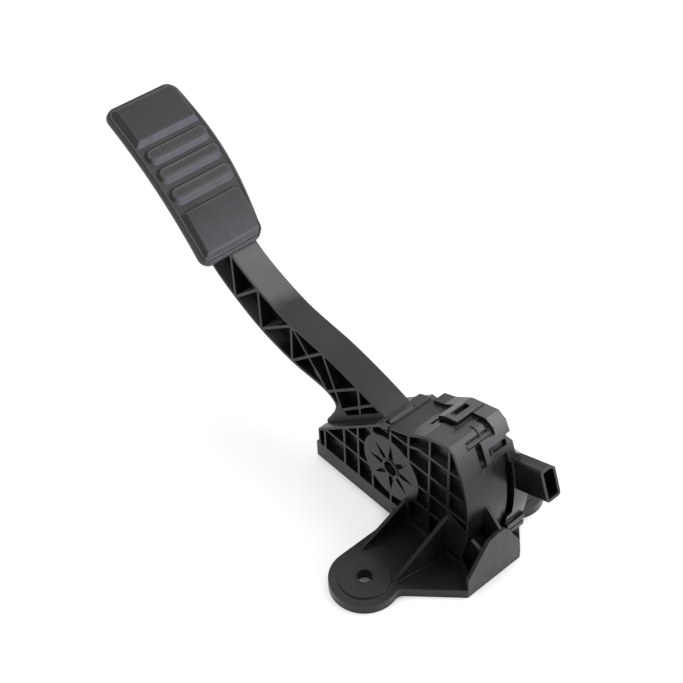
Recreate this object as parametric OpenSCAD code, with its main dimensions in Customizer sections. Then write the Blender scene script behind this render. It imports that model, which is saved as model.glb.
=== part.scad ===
// Floor-mounted accelerator pedal module, millimetres, +Z up from the mounting face.
// X runs from the driver (-X) to the bulkhead (+X), Y runs along the pivot axis.
// The origin lies on the mounting face, straight below the pivot axis, on the arm's mid-plane.

/* [Pivot] */
// Height of the pivot axis above the mounting face
pivot_h = 37; // [35:0.5:40]
// Radius of the steel pivot pin
pin_r = 3.8; // [3:0.1:4.4]
// Wall of the two arm bushes
bush_wall = 1.6; // [1.2:0.1:2]
// Radius of the arm's hub, which is also the friction drum
hub_r = 20; // [18:0.5:21]

/* [Arm] */
// Width of the arm along the pivot axis
arm_w = 17; // [14:0.5:20]
// Thickness of the arm's face and lower flange
arm_wall = 1.9; // [1.4:0.1:2.6]
// Thickness of the web in the arm's mid-plane
arm_web = 2; // [1.5:0.1:3]
// Thickness of the truss ribs in the arm's sides
truss_t = 1.6; // [1.2:0.1:2.2]

/* [Pad] */
// Length of the pad along its chord
pad_len = 98; // [90:1:104]
// Width of the pad at its upper end
pad_w_top = 46; // [42:0.5:52]
// Width of the pad at its lower end
pad_w_low = 41.4; // [38:0.5:50]
// Radius of the pad's convex face
pad_r = 220; // [180:5:400]
// Thickness of the rubber under its raised fields
pad_base = 1.7; // [1.2:0.1:2.4]
// Height of the raised fields and bars
pad_relief = 1.1; // [0.6:0.1:1.6]
// Thickness of the carrier plate on the arm
carrier_t = 2.2; // [1.8:0.1:3]
// Sideways offset of the pad from the arm's mid-plane
pad_y = -8; // [-10:0.5:0]

/* [Housing] */
// Thickness of each ribbed side wall
side_t = 5.7; // [5:0.1:8]
// Depth of the pockets between the side ribs
pocket_d = 3.8; // [2:0.1:4.2]
// Thickness of the waffle ribs
rib_t = 1.4; // [1:0.1:2]
// Thickness of the top plate and the rear wall
shell_t = 2.5; // [2:0.1:3.5]
// Thickness of the floor between the side walls
floor_t = 3; // [2:0.1:3.4]
// Radius of the curved rear wall
rear_r = 95; // [85:1:110]
// Distance from the pivot to the rear wall at pivot height
rear_x = 55; // [54:0.5:58]
// Radius of the star boss round the pivot hole
boss_r = 20.2; // [18:0.2:22]
// Height of the solid band along the foot of each wall
band_h = 11; // [9:0.5:13]

/* [Feet] */
// Thickness of the mounting flange
flange_t = 5.8; // [4.5:0.1:8]
// Height of the bolt bosses above the flange
boss_h = 0.8; // [0.4:0.1:1.2]
// Radius of the near ear
ear_r = 18.4; // [16:0.2:21]
// Radius of the far ear
far_ear_r = 17.6; // [15:0.2:20]
// Position of the near bolt hole
near_bolt = [23.7, -55.1];
// Position of the far bolt hole
far_bolt = [33.2, 42.3];
// Radius of the bolt passage in each sleeve
bolt_r = 3.9; // [3.2:0.1:4.5]
// Wall of the rolled steel sleeves
sleeve_t = 1.2; // [0.8:0.1:1.6]

/* [Sensor] */
// Thickness of the cover's plate and skirt
cover_t = 1.9; // [1.5:0.1:2.4]
// Distance from the mid-plane to the cover's outer face
cover_y = 19.5; // [18.5:0.1:22]
// Distance from the mid-plane to the outer face of the connector block
block_y = 26.6; // [25:0.1:30]
// Radius of the round part of the sensor pocket
pocket_r = 18; // [16:0.5:18.5]
// Thickness of the circuit board
board_t = 1.6; // [1:0.1:2]

/* [Connector] */
// Upward tilt of the connector
plug_tilt = 19.5; // [10:0.5:24]
// Height of the connector's shroud
shroud_h = 18.8; // [17:0.2:20]
// Width of the shroud
shroud_w = 9.8; // [9:0.2:11]
// Wall of the shroud
shroud_t = 1.5; // [1:0.1:1.6]
// Depth of the socket
socket_d = 14; // [12:0.5:16]
// Number of terminals
pin_count = 6; // [4:1:6]
// Pitch of the terminals
pin_pitch = 2.2; // [1.8:0.1:2.3]

/* [Springs] */
// Outer diameter of the outer return spring
outer_spring_d = 14.4; // [13:0.1:14.8]
// Outer diameter of the inner return spring
inner_spring_d = 9; // [8:0.1:9.2]
// Wire diameter of the outer spring
outer_wire = 1.8; // [1.4:0.1:2]
// Wire diameter of the inner spring
inner_wire = 1.3; // [1:0.1:1.4]
// Distance from the pivot to the springs' axis
spring_x = 28; // [27:0.5:29]

/* [Fits] */
// Radial clearance of a running fit
run_fit = 0.05; // [0.02:0.01:0.1]
// Side clearance between the arm and the side walls
side_fit = 0.3; // [0.2:0.05:0.5]
// Clearance between parts that rest on each other
seat_fit = 0.1; // [0.05:0.05:0.2]
// Clearance between parts that move past each other
move_fit = 0.3; // [0.3:0.05:0.5]

/* [Hidden] */
$fn = 64;

arm_half = arm_w / 2;
in_y = arm_half + side_fit;
out_y = in_y + side_t;
pivot = [0, pivot_h];
past = 1;

// Vector helpers for outlines in the XZ plane; outlines run clockwise, inside on the right.
function unit(v) = v / norm(v);
function left_of(v) = [-v[1], v[0]];
function dir_in(p, i, closed) = unit(i > 0 ? p[i] - p[i - 1] : closed ? p[0] - p[len(p) - 1] : p[1] - p[0]);
function dir_out(p, i, closed) =
  unit(i < len(p) - 1 ? p[i + 1] - p[i] : closed ? p[0] - p[i] : p[i] - p[i - 1]);
function mitre(a, b, d) = let (m = unit(left_of(a) + left_of(b))) m * (d / (m * left_of(a)));
function outset(p, d, closed = false) =
  [for (i = [0:len(p) - 1]) p[i] + mitre(dir_in(p, i, closed), dir_out(p, i, closed), d)];
function arc(c, r, a0, a1, n) =
  [for (i = [0:n]) let (a = a0 + (a1 - a0) * i / n) c + r * [cos(a), sin(a)]];
function blend(a, b, c, d, t) =
  0.5 * (2 * b + (c - a) * t + (2 * a - 5 * b + 4 * c - d) * t * t + (3 * b - a - 3 * c + d) * t * t * t);
function smooth(p, n) = concat(
  [for (i = [0:len(p) - 2], k = [0:n - 1])
    blend(p[max(i - 1, 0)], p[i], p[i + 1], p[min(i + 2, len(p) - 1)], k / n)],
  [p[len(p) - 1]]);

// Extrudes an XZ outline between two Y planes.
module slab(y0, y1) {
  translate([0, y1, 0]) rotate([90, 0, 0]) linear_extrude(y1 - y0) children();
}
module slab_mid(w) {
  slab(-w / 2, w / 2) children();
}
// Bar of thickness t between two points of the XZ plane.
module bar2d(a, b, t) {
  s = left_of(unit(b - a)) * t / 2;
  polygon([a + s, b + s, b - s, a - s]);
}
module rod_y(r, y0, y1) {
  translate([0, y1, 0]) rotate([90, 0, 0]) cylinder(r = r, h = y1 - y0);
}
module at_pivot() {
  translate([0, 0, pivot_h]) children();
}
// Rectangle with rounded corners, centred on the origin.
module round_rect(w, h, r) {
  square([w - 2 * r, h], center = true);
  square([w, h - 2 * r], center = true);
  for (x = [-1, 1], y = [-1, 1]) translate([x * (w / 2 - r), y * (h / 2 - r)]) circle(r = r, $fn = 32);
}

// Pad: its own frame has x along the chord towards the arm and z out of the face.
pad_tilt = 39.5;
pad_mid = [-165.5, pivot_h + 94.5];
pad_sag = pad_len * pad_len / 8 / pad_r;
pad_fit = 0.1;
pad_under = pad_base + pad_relief;
carrier_in = 1.7;
function pad_z(x, d) = sqrt((pad_r + d) * (pad_r + d) - x * x) - pad_r + pad_sag;
function pad_curve(x, d) =
  pad_mid + x * [cos(pad_tilt), -sin(pad_tilt)] + pad_z(x, d) * [sin(pad_tilt), cos(pad_tilt)];
function pad_half(x) = (pad_w_top + (pad_w_low - pad_w_top) * (x / pad_len + 0.5)) / 2;
function round_corner(p, q, r0, r, n) =
  let (u = unit(p - q), v = unit(r0 - q), h = acos(u * v) / 2, c = q + unit(u + v) * r / sin(h),
       s = atan2(-(unit(u + v))[1], -(unit(u + v))[0]), w = 90 - h, side = u[0] * v[1] - u[1] * v[0])
    [for (i = [0:n]) let (a = s + (side > 0 ? 1 : -1) * w * (1 - 2 * i / n)) c + r * [cos(a), sin(a)]];
function rounded(p, r, n) = [
  for (i = [0:len(p) - 1])
    for (q = round_corner(p[(i + len(p) - 1) % len(p)], p[i], p[(i + 1) % len(p)], r, n)) q
];
function pad_outline(inset, r) = let (l = pad_len / 2 - inset) rounded([
  [-l, -pad_half(-l) + inset], [l, -pad_half(l) + inset], [l, pad_half(l) - inset], [-l, pad_half(-l) - inset]
], r, 6);

module in_pad_frame() {
  translate([pad_mid[0], pad_y, pad_mid[1]]) rotate([0, pad_tilt, 0]) children();
}
// Shell between two depths d0 < d1 of the pad's curved face, cut to a plan outline.
module pad_layer(d0, d1) {
  intersection() {
    translate([0, 0, -20]) linear_extrude(40) children();
    slab(-pad_w_top, pad_w_top) translate([0, pad_sag - pad_r]) difference() {
      circle(r = pad_r + d1, $fn = 256);
      circle(r = pad_r + d0, $fn = 256);
    }
  }
}
module oblong(x, half_len, half_w) {
  for (s = [-1, 1]) translate([x, s * (half_len - half_w)]) circle(r = half_w, $fn = 32);
  translate([x - half_w, -half_len + half_w]) square([2 * half_w, 2 * (half_len - half_w)]);
}

// Arm outline: the face from the pad down to the hub, then back along the lower flange.
face_path = smooth([
  pad_curve(-32, -pad_under - 1), pad_curve(0, -pad_under - 1), pad_curve(32, -pad_under - 1),
  [-131, pivot_h + 60.3], [-117, pivot_h + 52], [-102, pivot_h + 46], [-87, pivot_h + 41.4],
  [-70, pivot_h + 39], [-54, pivot_h + 37], [-35, pivot_h + 32.8], [-19, pivot_h + 28.3],
  [-10, pivot_h + 25.2], [-2, pivot_h + 22.6]
], 4);
lower_path = smooth([
  [-35, pivot_h - 20], [-51, pivot_h - 16.8], [-56.8, pivot_h - 13], [-53.4, pivot_h - 6],
  [-49.8, pivot_h + 1], [-50, pivot_h + 6.5], [-59.3, pivot_h + 10.6], [-84.4, pivot_h + 12.3],
  [-110, pivot_h + 18.6], [-131.6, pivot_h + 28.3], [-150, pivot_h + 39.8], [-168, pivot_h + 57],
  [-181, pivot_h + 78], [-189.5, pivot_h + 100], pad_curve(-34, -pad_under - 2.1)
], 4);

// Return springs, their rocking seat and the arm's rear lever.
rock_r = 4;
rock_h = 2.4;
seat_t = 2.5;
seat_r = outer_spring_d / 2 + 0.5;
rock = [spring_x, pivot_h + 2];
lever_top = rock[1] - rock_h;
lever_end = spring_x + 9.5;
lever_h = 8.5;
spring_low = rock[1] + seat_t;
spring_high = pivot_h + 35;
spigot_r = inner_spring_d / 2 - inner_wire - 0.25;

rear_lever = [
  [hub_r - past, lever_top], [lever_end - 1, lever_top], [lever_end, lever_top - 1],
  [lever_end, lever_top - lever_h + 4], [lever_end - 4, lever_top - lever_h],
  [hub_r - 4, lever_top - lever_h - 2.5], [0, pivot_h]
];
arm_outline = concat(face_path, arc(pivot, hub_r, 84, -84, 24), lower_path);

// Truss of the arm's sides. The ribs run between nodes on the inner lines of the face and the flange.
face_in = outset(face_path, truss_t / 2 - arm_wall);
low_in = outset(lower_path, truss_t / 2 - arm_wall);
truss_hub = [-28.5, pivot_h - 1];
heel_node = [-44.2, pivot_h + 5];
face_nodes = [2, 7, 12, 18, 25, 31, 37, 40];
low_nodes = [53, 48, 42, 36, 32, 28, 23];
heel_runs = [[20, 23], [2, 6], [0, 2]];
function slice(p, a, b) = [for (i = [a:b]) p[i]];
function cross_at(a, b, c, d) = let (u = b - a, v = d - c, w = c - a)
  a + u * (w[0] * v[1] - w[1] * v[0]) / (u[0] * v[1] - u[1] * v[0]);
function face_node(i) = face_in[face_nodes[i]];
function low_node(i) = low_in[low_nodes[i]];
function face_run(i) = slice(face_in, face_nodes[i], face_nodes[i + 1]);
function low_run(i) = slice(low_in, low_nodes[i + 1], low_nodes[i]);
function heel_run(i) = slice(low_in, heel_runs[i][0], heel_runs[i][1]);
brace_a = cross_at(face_node(4), low_node(6), face_node(5), low_node(5));
brace_b = cross_at(face_node(5), heel_node, face_node(6), low_node(6));
brace_c = cross_at(face_node(6), truss_hub, face_node(7), heel_node);
hub_rib_r = hub_r - truss_t / 2;
truss_cells = concat(
  [for (i = [0:3]) concat(face_run(i), [low_node(i + 1)])],
  [for (i = [0:3]) concat([face_node(i)], low_run(i))],
  [
    concat([face_node(4)], low_run(4)),
    [face_node(4), brace_a, low_node(5)],
    concat(face_run(4), [brace_a]), concat([brace_a], low_run(5)),
    [face_node(5), brace_b, low_node(6), brace_a],
    concat(face_run(5), [brace_b]), concat([brace_b, heel_node], heel_run(0)),
    [face_node(6), brace_c, heel_node, brace_b],
    concat(face_run(6), [brace_c]), [brace_c, truss_hub, heel_node],
    concat(slice(face_in, face_nodes[7], 44), arc(pivot, hub_rib_r, 108, 168, 6), [truss_hub, brace_c]),
    concat([truss_hub], heel_run(1)),
    concat([truss_hub], arc(pivot, hub_rib_r, 178, 225, 5), [[-17, low_in[0][1]]], heel_run(2))
  ]);
// Solid band where the truss enters the housing, and the thick oval middle of one brace.
band = [[-45.9, pivot_h - 5], [-6.4, pivot_h + 28]];
band_t = 6;
swell = (brace_a + low_node(6)) / 2;
swell_dir = unit(low_node(6) - brace_a);
swell_half = [3.6, 1.7];
module truss_pockets() {
  difference() {
    for (c = truss_cells) polygon(outset(c, -truss_t / 2, true));
    bar2d(band[0], band[1], band_t);
    polygon([for (a = [0:24:336])
      swell + swell_dir * swell_half[0] * cos(a) + left_of(swell_dir) * swell_half[1] * sin(a)]);
  }
}

// Side view of the housing, grown outwards by g beyond the real outline.
lip_x = -9.2;
lip_z = 26.2;
top_path = [
  [-57.3, pivot_h - 14.6], [-10, pivot_h + 24.9], [-5, pivot_h + 28.2], [12.2, pivot_h + 35.1],
  [24, pivot_h + 43], [39.8, pivot_h + 47.3], [43.2, pivot_h + 45.4]
];
tip_x = -59.3;
rear_c = [rear_x - rear_r, pivot_h];
module side_view(g) {
  intersection() {
    polygon(concat(
      [[tip_x - g, -g], [tip_x - g, band_h - 0.2], [top_path[0][0] - g, band_h + 0.2]],
      outset(top_path, g), [[rear_x + 15, pivot_h + 38 + g], [rear_x + 15, -g]]));
    translate(rear_c) circle(r = rear_r + g, $fn = 256);
  }
}
stop_x = [-4.6, -2.2];
module cavity() {
  difference() {
    polygon(concat(
      [[tip_x - 20, floor_t], [tip_x - 20, pivot_h + 60], [lip_x + 0.7, pivot_h + 60],
        [lip_x + 0.7, pivot_h + lip_z], [-2, pivot_h + lip_z]],
      [for (i = [3:5]) outset(top_path, -shell_t)[i]],
      [[rear_x, pivot_h + 43], [rear_x, floor_t]]));
    translate(rear_c) difference() {
      translate([0, -pivot_h]) square([2 * rear_r, 3 * pivot_h]);
      circle(r = rear_r - shell_t, $fn = 256);
    }
  }
}
// Waffle ribs of the side walls.
rib_x = [-52, -36, -25, -14, -0.3, 12.8, 27.6, 40.7];
rib_z = [pivot_h - 11, pivot_h + 3, pivot_h + 16.5];
rib_high = [[-12, pivot_h + 25.6], [12.8, pivot_h + 26.7], [20, pivot_h + 30.1], [56, pivot_h + 31.4]];
module waffle_ribs() {
  for (x = rib_x) translate([x - rib_t / 2, 0]) square([rib_t, pivot_h * 3]);
  for (z = rib_z) translate([tip_x, z - rib_t / 2]) square([rear_x - tip_x + 5, rib_t]);
  for (i = [0:len(rib_high) - 2]) bar2d(rib_high[i], rib_high[i + 1], rib_t);
}
foot_x = [near_bolt[0] - ear_r, rear_x + 10.4];
// Smooth panel low at the rear of the near wall, under a falling edge.
panel_top = [[rib_x[7], pivot_h + 1.6], [rear_x + 5, pivot_h - 6.6]];
module wall_pockets(x_end, boss) {
  intersection() {
    difference() {
      translate([tip_x, 0]) square([x_end - tip_x, 3 * pivot_h]);
      square([4 * rear_x, 2 * band_h], center = true);
      waffle_ribs();
      polygon([panel_top[0], panel_top[1], [panel_top[1][0], 0], [panel_top[0][0], 0]]);
      translate(pivot) circle(r = boss);
    }
    side_view(-rib_t);
  }
  if (x_end > foot_x[0] + 10) intersection() {
    difference() {
      translate([foot_x[0] + 3, flange_t + 2]) square([rear_x - foot_x[0] - 6, band_h - flange_t - 1.9]);
      waffle_ribs();
    }
    side_view(-rib_t);
  }
}
// Eight wedges round the pivot hole, each with its point outwards.
wedge = [[6.2, -1.3], [9, -1.6], [16.6, 0], [9, 1.6], [6.2, 1.3]];
module star_recess() {
  for (a = [0:45:315]) rotate([0, a, 0]) rotate([90, 0, 0]) linear_extrude(2 * past) polygon(wedge);
}

base_y = [-23.2, out_y];
corner_top = 14;
// Plan of a foot on the near side: an ear's disc at c, and the flange from it to the rear corner p.
// The flange's rear edge rises at edge_a and runs into the disc through a hollow fillet.
edge_a = 45;
wall_fillet = 6;
ear_fillet = 5;
module foot_plan(c, r, p) {
  u = [cos(edge_a), sin(edge_a)];
  n = [sin(edge_a), -cos(edge_a)];
  q = p + n * ear_fillet - c;
  f = c + q - u * (q * u - sqrt(pow(r + ear_fillet, 2) - q * q + pow(q * u, 2)));
  x = c[0] - r;
  polygon(concat(
    [[x - wall_fillet, -in_y]],
    arc([x - wall_fillet, -out_y - wall_fillet], wall_fillet, 90, 0, 6),
    [[x, c[1]], c],
    arc(f, ear_fillet, 180 + atan((f - c)[1] / (f - c)[0]), 90 + edge_a, 6),
    [p, [p[0], -in_y]]));
  translate(c) circle(r = r);
}
module near_foot() {
  foot_plan(near_bolt, ear_r, [foot_x[1], base_y[0]]);
}
module far_foot() {
  mirror([0, 1]) foot_plan([far_bolt[0], -far_bolt[1]], far_ear_r, [foot_x[1], -base_y[1]]);
}
// Upright web that falls in a straight line from height h at a to height e at b, in plan.
module gusset(a, h, b, e, t) {
  len_ab = norm(b - a);
  translate([a[0], a[1], 0]) rotate([0, 0, atan2(b[1] - a[1], b[0] - a[0])])
    slab(-t / 2, t / 2) polygon([[-2, 1], [-2, h], [0, h], [len_ab, e], [len_ab, 1]]);
}
gusset_t = 2;
web_end = flange_t + 0.4;
module feet() {
  linear_extrude(flange_t) {
    near_foot();
    far_foot();
    translate([-2, -out_y]) square([foot_x[1] + 2, 2 * out_y]);
  }
  for (e = [[near_bolt, ear_r], [far_bolt, far_ear_r]])
    translate([e[0][0], e[0][1], 0]) cylinder(r = e[1] * 0.74, h = flange_t + boss_h);
  gusset([11.2, -in_y - 2], 24, [9.5, near_bolt[1] + 10], web_end, gusset_t);
  gusset([41.3, -in_y - 2], 38, [36, near_bolt[1] + 8], web_end, gusset_t);
  gusset([20, in_y + 2], 12.4, [21, far_bolt[1] - 8], web_end, gusset_t);
  gusset([45, in_y + 2], 12.4, [45.5, far_bolt[1] - 4], web_end, gusset_t);
}
// Rear plate of the foot, the webs from it to the rear wall and the central fin.
pin_eye_r = pin_r + 0.6;
plate_t = 2;
plate_top = 34.5;
module rear_web(y, h0, h1) {
  slab(y - 1, y + 1) polygon([[rear_x - 5, 1], [rear_x - 5, h0], [foot_x[1] - 1, h1], [foot_x[1] - 1, 1]]);
}
module rear_corner() {
  translate([foot_x[1], 0, 0]) rotate([0, -90, 0]) linear_extrude(plate_t) polygon([
    [0, base_y[0]], [corner_top, base_y[0]], [33.2, -9.8], [plate_top, -4], [plate_top, 0.4], [30.5, 4.3],
    [corner_top + 1, base_y[1] - 1.2], [0, base_y[1]]]);
  slab(-1.6, 0) polygon([
    [rear_x - 2, 20], [rear_x - 2, 44], [rear_x, 43.2], [foot_x[1] - 1, plate_top], [foot_x[1] - 1, 20]]);
  rear_web(-10, 27, 21);
  rear_web(11.6, 16, 12);
  gusset([rear_x - 4.6, -out_y + 1], 11, [foot_x[1] - 1, base_y[0] + 1], corner_top, 1.8);
}

// Frame on the rear part of the top plate, and on the curved rear wall at an angle.
slope_a = atan2(top_path[5][1] - top_path[4][1], top_path[5][0] - top_path[4][0]);
module on_slope(x) {
  translate([x, 0, top_path[4][1] + (x - top_path[4][0]) * tan(slope_a)]) rotate([0, -slope_a, 0]) children();
}
module on_rear(a) {
  translate([rear_c[0], 0, rear_c[1]]) rotate([0, -a, 0])
    translate([rear_r, 0, 0]) rotate([0, 90, 0]) children();
}
clip_h = 0.15 + cover_t;
// Top clip of the cover: its reach along X and its near end. The rear clip: its reach along Z.
top_clip = [18.8, 31.3];
top_clip_y = 0;
rear_clip = [pivot_h + 32, pivot_h + 43.4];
rear_clip_y = 0.8;
// Near edge of the cover's flange in front of the top clip, and of the strip between the clips.
flange_y = 11.8;
strip_y = 10.5;
// Ramped catch: c = [place, y of the steep face, y where the ramp ends, length, end of its window].
catch_top = [26.2, 3.2, 6.8, 3, 13.2];
catch_rear = [22.6, 4.7, 8.2, 3.2, 15.4];
module catch(c) {
  translate([-c[3] / 2, 0, 0]) rotate([90, 0, 90]) linear_extrude(c[3])
    polygon([[c[1], -1], [c[1], clip_h + 0.4], [c[1] + 1, clip_h + 0.4], [c[2], 0.2], [c[2], -1]]);
}

// Part of the skin between the depths g0 and g1, in the ranges y, x and z.
module skin(y, g0, g1, x, z) {
  slab(y[0], y[1]) intersection() {
    difference() {
      side_view(g1);
      side_view(g0);
    }
    translate([x[0], z[0]]) square([x[1] - x[0], z[1] - z[0]]);
  }
}
groove_d = 1.7;
rear_run = [rear_x - 14, rear_x + 4];
top_run = [rear_clip[1] + 1.4, pivot_h + 60];
// Grooves round the clips: the ranges of y, x and z of each.
clip_grooves = [
  [[flange_y - 1.8, flange_y + 0.6], [4, top_clip[0] - 1.2], top_run],
  [[top_clip_y - 4, top_clip_y + 1.2], [top_clip[0] - 2.2, top_clip[0] - 0.3], [pivot_h + 36, pivot_h + 60]],
  [[top_clip_y - 1.6, top_clip_y + 0.6], [top_clip[0] + 1, top_clip[1] - 2], [pivot_h + 36, pivot_h + 60]],
  [[-5, strip_y - 0.6], [top_clip[1] + 1.4, top_clip[1] + 3.6], top_run],
  [[strip_y - 2.2, strip_y + 0.6], [top_clip[1] + 4.4, rear_x - 10], top_run],
  [[-6, strip_y - 2.4], rear_run, [rear_clip[1] + 1.3, rear_clip[1] + 2.4]],
  [[-6, strip_y + 0.6], rear_run, [rear_clip[1] - 0.8, rear_clip[1] + 0.4]],
  [[rear_clip_y - 2.4, rear_clip_y + 0.6], rear_run, [rear_clip[0] - 0.4, rear_clip[1] - 1]],
  [[rear_clip_y - 2, 12], rear_run, [rear_clip[0] - 2, rear_clip[0] + 0.4]]
];
// Guide ribs beside the clips.
clip_ribs = [
  [[top_clip_y - 2, strip_y - 0.7], [top_clip[1] + 0.35, top_clip[1] + 1.15], top_run],
  [[3.2, 3.9], [rear_x - 18, rear_x - 9], top_run],
  [[-6, strip_y - 0.7], rear_run, [rear_clip[1] + 0.45, rear_clip[1] + 1.25]],
  [[-2.8, 12], rear_run, [rear_clip[0] - 2.9, rear_clip[0] - 2.1]]
];
rib_out = 0.7;
module housing_blank() {
  slab_mid(2 * out_y) side_view(0);
  feet();
  rear_corner();
  at_pivot() rod_y(pin_eye_r + 1, -out_y - 0.5, -out_y + past);
  // Raised front lip above the arm.
  slab(-out_y - 1, out_y) polygon([
    [lip_x, pivot_h + lip_z], [lip_x, pivot_h + 27.4], [-5, pivot_h + 29.4], [-1, pivot_h + 30.4],
    [-1, pivot_h + lip_z]
  ]);
  on_slope(catch_top[0]) catch(catch_top);
  on_rear(catch_rear[0]) catch(catch_rear);
  for (r = clip_ribs) skin(r[0], -past, rib_out, r[1], r[2]);
}
pin_out = -out_y + 3;
pin_in = in_y + 2.4;
board_y = in_y + 3.2;
lever_pivot = [14, pivot_h + 28];
lever_pivot_r = 3;

// Plan of the sensor pocket in the far wall, grown by g.
board_box = [[0, pivot_h - 8], [46.5, pivot_h + 21.5]];
board_corner = 3;
module sensor_pocket(g) {
  size = board_box[1] - board_box[0] + [2 * g, 2 * g];
  translate(pivot) circle(r = pocket_r + g);
  translate((board_box[0] + board_box[1]) / 2) round_rect(size[0], size[1], board_corner + max(g, 0));
}
module housing() {
  color([0.045, 0.046, 0.05]) difference() {
    housing_blank();
    slab_mid(2 * in_y) cavity();
    // Waffle pockets of the near wall and of the open part of the far wall.
    slab(-out_y - past, -out_y + pocket_d) wall_pockets(rear_x - 1, boss_r);
    slab(out_y - pocket_d, out_y + past) wall_pockets(rib_x[3], pocket_r + 5);
    translate([0, -out_y + 1.5, pivot_h]) star_recess();
    at_pivot() {
      rod_y(pin_r + 0.02, -out_y - 3, pin_in);
      rod_y(pin_eye_r, -out_y - 3, pin_out + 0.4);
    }
    slab(board_y, out_y + past) sensor_pocket(0);
    slab(out_y - seal_d, out_y + past) difference() {
      sensor_pocket(seal_at + seal_w + 0.05);
      sensor_pocket(seal_at - 0.05);
    }
    for (g = clip_grooves) skin(g[0], -groove_d, past, g[1], g[2]);
    // Slot for the idle stop and the open notch beside it.
    slab(-11.8 - seat_fit, 4.6 + seat_fit)
      translate([stop_x[0] - 0.02, pivot_h + 25]) square([stop_x[1] - stop_x[0] + 0.04, 8]);
    slab(-out_y + 1.2, -in_y - 1.2) translate([-5.6, pivot_h + 22]) square([4.4, 12]);
    // Recess of the far wall's rear edge beside the cover.
    slab(out_y - 1.4, out_y + past) intersection() {
      difference() {
        side_view(1);
        side_view(-2.2);
      }
      translate([rear_x - 16, floor_t + 14]) square([20, 46]);
    }
    for (p = [near_bolt, far_bolt]) translate([p[0], p[1], -past])
      cylinder(r = bolt_r + sleeve_t + 0.02, h = flange_t + 3);
    // Bearings of the friction lever.
    translate([lever_pivot[0], 0, lever_pivot[1]]) rod_y(lever_pivot_r + run_fit, -in_y - 1.5, in_y + 1.5);
    // Seat of the full travel stop.
    translate([stop_block[0], -6, floor_t - 1]) cube([stop_block[1], 12, 2]);
  }
}

module pedal_arm() {
  color([0.05, 0.05, 0.055]) difference() {
    union() {
      slab_mid(arm_w) {
        polygon(arm_outline);
        polygon(rear_lever);
      }
      in_pad_frame() pad_layer(-pad_under - carrier_t, -pad_under) polygon(pad_outline(carrier_in, 4));
    }
    for (s = [0, 1]) mirror([0, s, 0]) slab(arm_web / 2, arm_half + past) truss_pockets();
    at_pivot() {
      rod_y(pin_r + run_fit + bush_wall + 0.02, -arm_half - past, arm_half + past);
      rod_y(holder_r + 0.05, arm_half - holder_t, arm_half + past);
      // Weight-saving ring groove on the near face of the hub.
      difference() {
        rod_y(hub_r - 3, -arm_half - past, -arm_half + 4);
        rod_y(pin_r + bush_wall + 3, -arm_half - past, -arm_half + 5);
        for (a = [0:60:300]) rotate([0, a, 0])
          translate([0, -arm_half - 2, -truss_t / 2]) cube([hub_r, 8, truss_t]);
      }
    }
    // Saddle for the rocking spring seat.
    translate([rock[0], 0, rock[1]]) rod_y(rock_r + run_fit, -arm_half - past, arm_half + past);
  }
}

bar_x = [-15, -3, 9];
bar_half = [18.9, 18.7, 18.4];
module pedal_pad() {
  color([0.04, 0.04, 0.043]) in_pad_frame() {
    // Cover with its stepped rim and the skirt that grips the carrier.
    pad_layer(-pad_under + pad_fit, -pad_relief) polygon(pad_outline(0, 5));
    pad_layer(-pad_under - carrier_t - 0.5, -pad_under + pad_fit) difference() {
      polygon(pad_outline(0, 5));
      polygon(pad_outline(carrier_in - pad_fit, 4.1));
      // Gap for the arm, which leaves the pad at its lower end.
      translate([pad_len / 2 - 8, -pad_y - arm_half - seat_fit]) square([16, arm_w + 2 * seat_fit]);
    }
    // Upper and lower raised fields.
    pad_layer(-pad_relief - 0.2, 0) {
      intersection() {
        polygon(pad_outline(2.4, 3.5));
        translate([-60, -40]) square([60 - 23.5, 80]);
      }
      intersection() {
        polygon(pad_outline(2.4, 3.5));
        translate([17.6, -40]) square([60, 80]);
      }
    }
    // Grip bars, each on a wider foot.
    for (i = [0:2]) {
      pad_layer(-pad_relief - 0.2, -pad_relief * 0.45) oblong(bar_x[i], bar_half[i], 4.1);
      pad_layer(-pad_relief * 0.45 - 0.1, 0) oblong(bar_x[i], bar_half[i] - 1.2, 2.9);
    }
  }
}

module pivot_pin() {
  color([0.6, 0.61, 0.62]) at_pivot() difference() {
    union() {
      rod_y(pin_r, pin_out + 0.6, pin_in - 0.6);
      translate([0, pin_in, 0]) rotate([90, 0, 0]) cylinder(r1 = pin_r - 0.6, r2 = pin_r, h = 0.6);
      translate([0, pin_out + 0.6, 0]) rotate([90, 0, 0]) cylinder(r1 = pin_r, r2 = pin_r - 0.6, h = 0.6);
    }
    rod_y(1.2, pin_out - past, pin_out + 2.4);
  }
}
bush_len = 7;
module bush() {
  at_pivot() difference() {
    rod_y(pin_r + run_fit + bush_wall, 0, bush_len);
    rod_y(pin_r + run_fit, -past, bush_len + past);
  }
}
module bush_near() {
  color([0.75, 0.72, 0.62]) translate([0, -arm_half + 0.1, 0]) bush();
}
module bush_far() {
  color([0.75, 0.72, 0.62]) translate([0, arm_half - 0.1 - bush_len, 0]) bush();
}

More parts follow.
